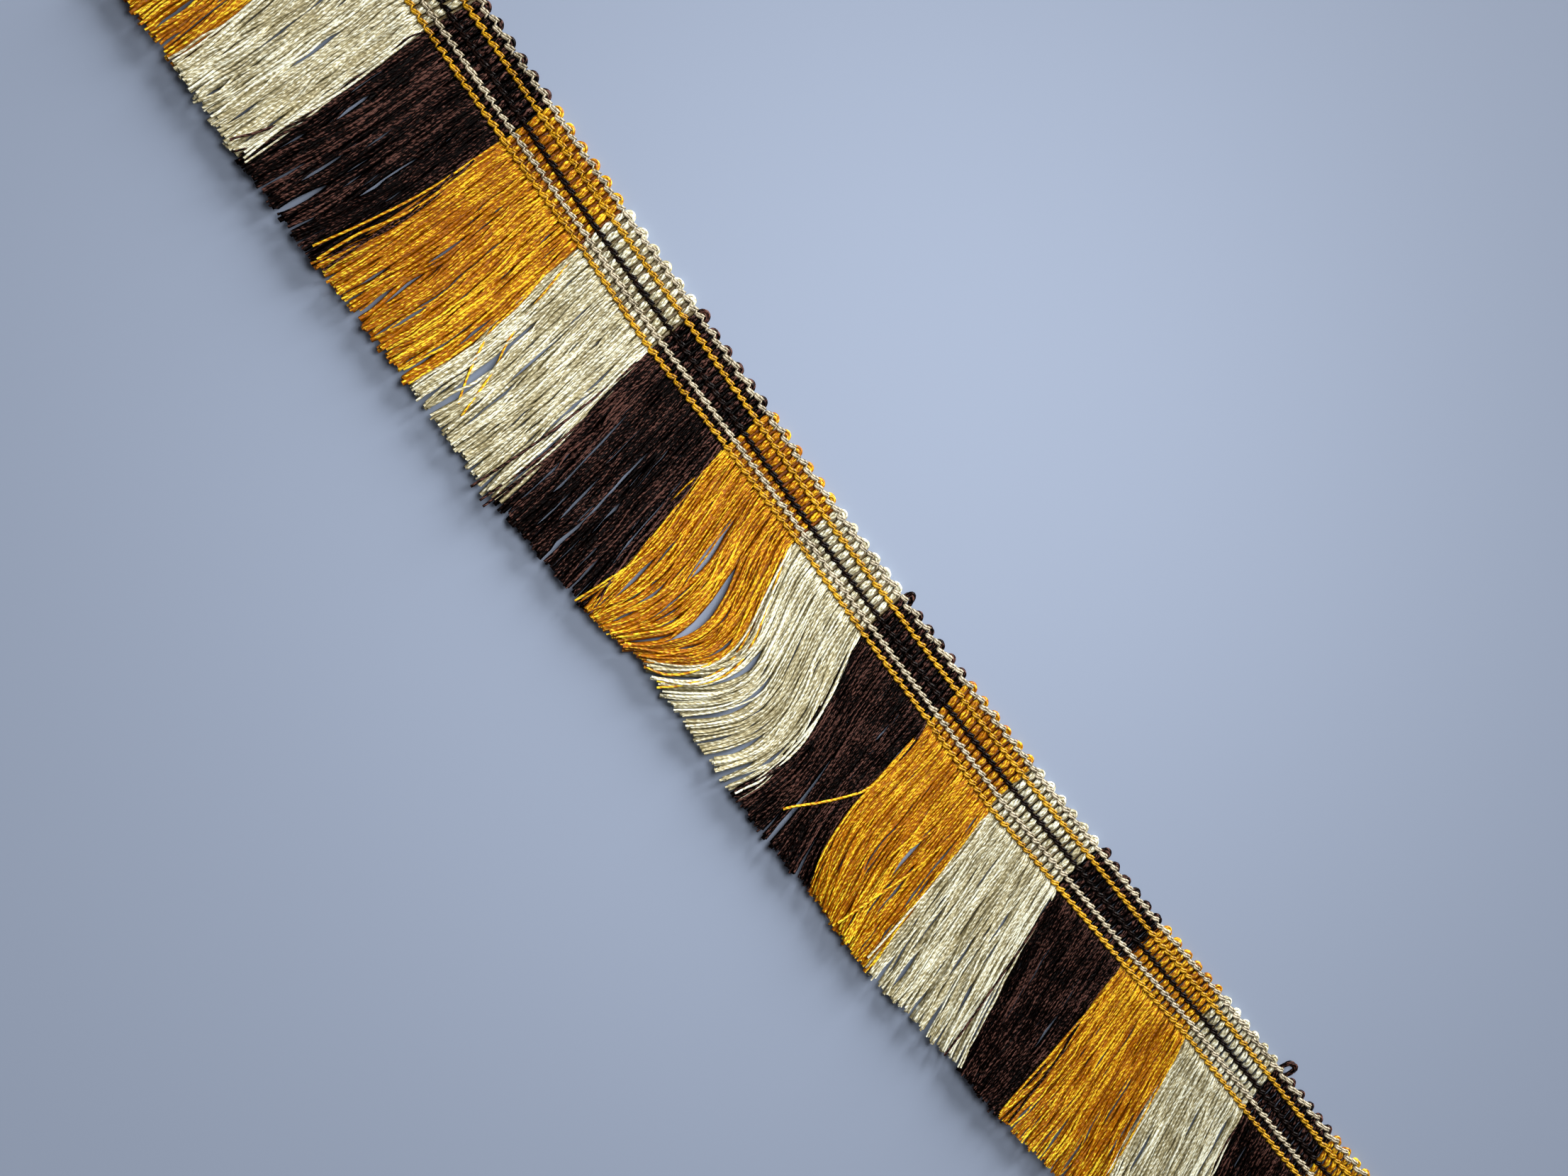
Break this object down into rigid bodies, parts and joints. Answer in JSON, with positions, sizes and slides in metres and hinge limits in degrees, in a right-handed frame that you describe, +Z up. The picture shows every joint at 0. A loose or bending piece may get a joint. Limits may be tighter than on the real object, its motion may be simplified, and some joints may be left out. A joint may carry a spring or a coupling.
{
  "type": "tassel fringe trim",
  "caption": "Cut length of knitted tassel fringe trim, lying flat, with gold, cream and brown blocks and a looped heading.",
  "frame": {"origin": "middle of the trim's footprint on the surface that it lies on", "axes": "+X along the trim's length, +Y toward the looped edge of the heading, the skirt toward -Y, +Z up from the surface"},
  "size_m": [0.3396, 0.0544, 0.002],
  "materials": {
    "yarn_gold": "glossy twisted rayon yarn",
    "yarn_cream": "glossy twisted rayon yarn",
    "yarn_brown": "glossy twisted rayon yarn",
    "heading_yarns": "glossy rayon floats in gold, cream and brown blocks of twelve courses",
    "chain_gold": "fine glossy chain yarn",
    "chain_silver": "fine pale grey glossy chain yarn",
    "chain_black": "fine black chain yarn"
  },
  "bodies": {
    "root": {"heading_band": "heading_yarns", "chain_skirt_gold": "chain_gold", "chain_inner_silver": "chain_silver", "chain_middle_black": "chain_black", "chain_outer_gold": "chain_gold", "chain_edge_silver": "chain_silver", "skirt_01_gold": "yarn_gold", "skirt_02_cream": "yarn_cream", "skirt_03_brown": "yarn_brown", "skirt_04_gold": "yarn_gold", "skirt_05_cream": "yarn_cream", "skirt_06_brown": "yarn_brown", "skirt_07_gold": "yarn_gold", "skirt_08_cream": "yarn_cream", "skirt_09_brown": "yarn_brown", "skirt_10_gold": "yarn_gold", "skirt_11_cream": "yarn_cream", "skirt_12_brown": "yarn_brown", "skirt_13_gold": "yarn_gold", "skirt_14_cream": "yarn_cream", "skirt_15_brown": "yarn_brown", "skirt_16_gold": "yarn_gold"}
  },
  "joints": []
}
